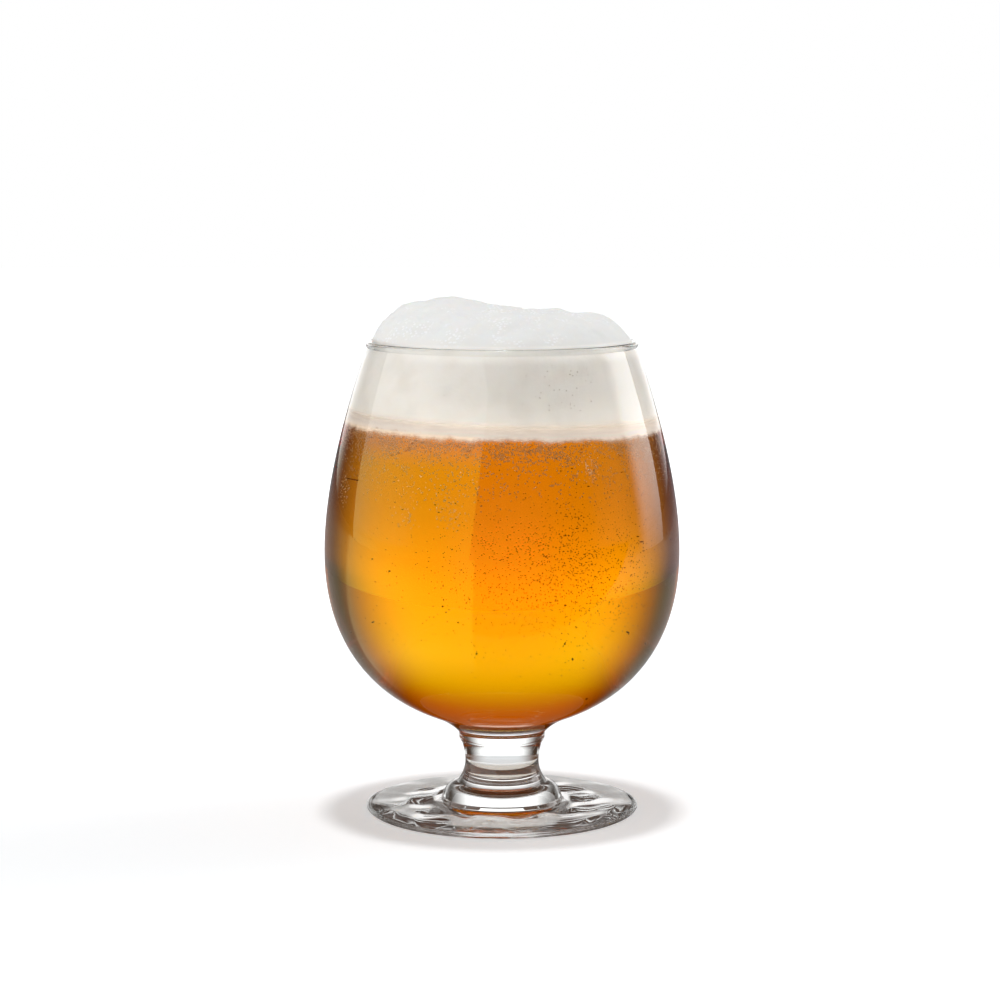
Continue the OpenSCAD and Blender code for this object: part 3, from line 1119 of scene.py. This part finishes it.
def froth_hollows():
    front, rest = HOLLOWS_IN_FRONT, HOLLOW_COUNT - HOLLOWS_IN_FRONT
    azimuth = np.concatenate([rng.normal(22, 10, front), rng.uniform(-180, 180, rest)])
    height = rng.uniform(RIM_Z - 15, RIM_Z - 3, HOLLOW_COUNT)
    radii = rng.uniform(0.10, 0.20, HOLLOW_COUNT)
    return on_wall(azimuth, height, 0.3 * radii + GAP), radii


def bubble_material(name, colour, roughness):
    material, tree = new_material(name)
    skin = {"Base Color": linear(colour), "Roughness": roughness, "IOR": BEER_INDEX}
    surface = add_node(tree, "BsdfPrincipled", skin)[0]
    add_node(tree, "OutputMaterial", {"Surface": surface})
    return material


# The dark dots and the grey hollows are painted shade.
bright = bubble_material("bubbles on the wall", "#E2C4A4", 0.5)
dark = bubble_material("bubbles painted dark against the light", "#5A2806", 0.3)
hollow_shade = bubble_material("painted shade in froth hollows", "#B9AEA0", 0.5)
for name, (places, radii), material, slot in (
    ("bubble_clumps", clump_bubbles(), bright, "amber_beer"),
    ("bubble_dots", dot_bubbles(), dark, "amber_beer"),
    ("froth_hollows", froth_hollows(), hollow_shade, "white_froth"),
):
    piece = scatter(name, places, radii)
    piece.data.materials.append(material)
    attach(piece, "root")
    print(name + ":", len(places), "bubbles,", len(piece.data.polygons), "faces")

# %% [markdown]
# The finest bubbles hang under the froth as a haze, thickest where they touch it. They are
# far too many to model one by one, so they are a thin closed skin just inside the wall. A
# pattern of small cells says where there is a bubble: each cell draws a lot, and holds one
# if the lot is below the haze's density there. Between the bubbles the skin is fully clear.
# Over the foot of the froth it is solid, with a ragged edge, and there it hides the line
# where beer and froth meet.

# %% The haze's body
HAZE_GAP, HAZE_SKIN = 0.02, 0.02
HAZE_DROP, HAZE_RISE = 20, 4.5


def haze_outline():
    low, high = BEER_Z - HAZE_DROP, BEER_Z + HAZE_RISE
    outer = [p for p in inner_side(HAZE_GAP) if low < p.y < high]
    inner = [p - Vector((HAZE_SKIN, 0)) for p in reversed(outer)]
    return joined(outer, inner) + [outer[0]]


haze = spun("bubble_haze", haze_outline())
bpy.ops.object.shade_smooth_by_angle(angle=math.radians(40))
print("haze:", len(haze.data.polygons), "faces")

# %% Where the haze has a bubble
CELL_MM, CLOUD_MM, RAGGED_MM = 0.42, 4.5, 2.4
NEAR_DENSITY, FAR_DENSITY, NEAR_DROP = 0.95, 0.3, 7
CLOUDY = (0.35, 0.65, 0.35, 1.5)
DOT_EDGE = (0.3, 0.75, 0.55, 0)


def haze_dots(tree, place, level, clouds):
    near_range = (*in_metres(BEER_Z - NEAR_DROP, BEER_Z), 0, NEAR_DENSITY)
    near = add_node(tree, "MapRange", (level, *near_range), SMOOTH)[0]
    far_range = (*in_metres(BEER_Z - HAZE_DROP, BEER_Z), 0, FAR_DENSITY)
    far = add_node(tree, "MapRange", (level, *far_range), SMOOTH)[0]
    density = add_node(tree, "Math", (near, far), PLUS)[0]
    cloudy = add_node(tree, "MapRange", (clouds, *CLOUDY), SMOOTH)[0]
    density = add_node(tree, "Math", (density, cloudy), TIMES)[0]
    cells = add_node(tree, "TexVoronoi", {"Vector": place, "Scale": 1 / (CELL_MM * MM)})
    lot = add_node(tree, "SeparateXYZ", [cells["Color"]])["X"]
    there = add_node(tree, "Math", (lot, density), BELOW)[0]
    dots = add_node(tree, "MapRange", (cells["Distance"], *DOT_EDGE), SMOOTH)[0]
    dots = add_node(tree, "Math", (dots, there), TIMES)[0]
    in_beer = in_metres(BEER_Z + 0.5, BEER_Z + 1)
    in_beer = add_node(tree, "MapRange", (level, *in_beer, 1, 0), SMOOTH)[0]
    return add_node(tree, "Math", (dots, in_beer), TIMES)[0]


def haze_edge(tree, level, ragged):
    """1 over the foot of the froth, with a ragged lower edge, fading out above."""
    edge = in_metres(BEER_Z - 0.1, BEER_Z + 1.7)
    solid = add_node(tree, "MapRange", (ragged, *edge, 0, 1), SMOOTH)[0]
    fading = in_metres(BEER_Z + 0.6, BEER_Z + 4)
    fading = add_node(tree, "MapRange", (level, *fading, 1, 0), SMOOTH)[0]
    return add_node(tree, "Math", (solid, fading), TIMES)[0]


print("cells of", CELL_MM, "mm in clouds of", CLOUD_MM, "mm")

# %% The haze's finish
HAZE_IN_BEER, HAZE_ON_FROTH, HAZE_THROUGH = "#BE976E", "#FFF3E6", "#D8CCBC"
# The cream over the froth's foot glows weakly, like the froth: painted light for the light that
# wanders in from the lit wall behind.
HAZE_GLOW = 0.11
THIN_SHARE = 0.5


def haze_body(tree, axes, ragged):
    """Tan bubbles that half let the light through, and cream on the foot of the froth."""
    edge = in_metres(BEER_Z - 0.5, BEER_Z + 1.2)
    cream = add_node(tree, "MapRange", (ragged, *edge, 0, 1), SMOOTH)[0]
    ends = {0: cream, 6: linear(HAZE_IN_BEER), 7: linear(HAZE_ON_FROTH)}
    glow_range = (*in_metres(*GLOW_SIDE), 0, HAZE_GLOW)
    glow = add_node(tree, "MapRange", (axes["X"], *glow_range), SMOOTH)[0]
    skin = {
        "Base Color": add_node(tree, "Mix", ends, COLOURS)[2],
        "Roughness": 0.6,
        "IOR": 1.05,
        "Emission Color": linear("#FFF6EC"),
        "Emission Strength": add_node(tree, "Math", (cream, glow), TIMES)[0],
    }
    skin = add_node(tree, "BsdfPrincipled", skin)[0]
    lit_through = add_node(tree, "BsdfTranslucent", {"Color": linear(HAZE_THROUGH)})[0]
    thick = add_node(tree, "Math", (cream, THIN_SHARE), TIMES)[0]
    thin = add_node(tree, "Math", (THIN_SHARE, thick), MINUS)[0]
    return add_node(tree, "MixShader", (thin, skin, lit_through))[0]


def haze_material():
    material, tree = new_material("haze of fine bubbles")
    place = add_node(tree, "TexCoord")["Object"]
    axes = add_node(tree, "SeparateXYZ", [place])
    level = tilted_level(tree, axes)
    pattern = {"Vector": place, "Scale": 1 / (CLOUD_MM * MM), "Detail": 5}
    clouds = add_node(tree, "TexNoise", pattern)["Fac"]
    ragged = add_node(tree, "Math", (clouds, RAGGED_MM * MM), TIMES)[0]
    ragged = add_node(tree, "Math", (level, ragged), PLUS)[0]
    dots = haze_dots(tree, place, level, clouds)
    mask = add_node(tree, "Math", (dots, haze_edge(tree, level, ragged)), LARGER)[0]
    through = add_node(tree, "BsdfTransparent")[0]
    body = haze_body(tree, axes, ragged)
    surface = add_node(tree, "MixShader", (mask, through, body))[0]
    add_node(tree, "OutputMaterial", {"Surface": surface})
    return material


haze.data.materials.append(haze_material())
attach(haze, "root")
print("finish:", haze.data.materials[0].name)
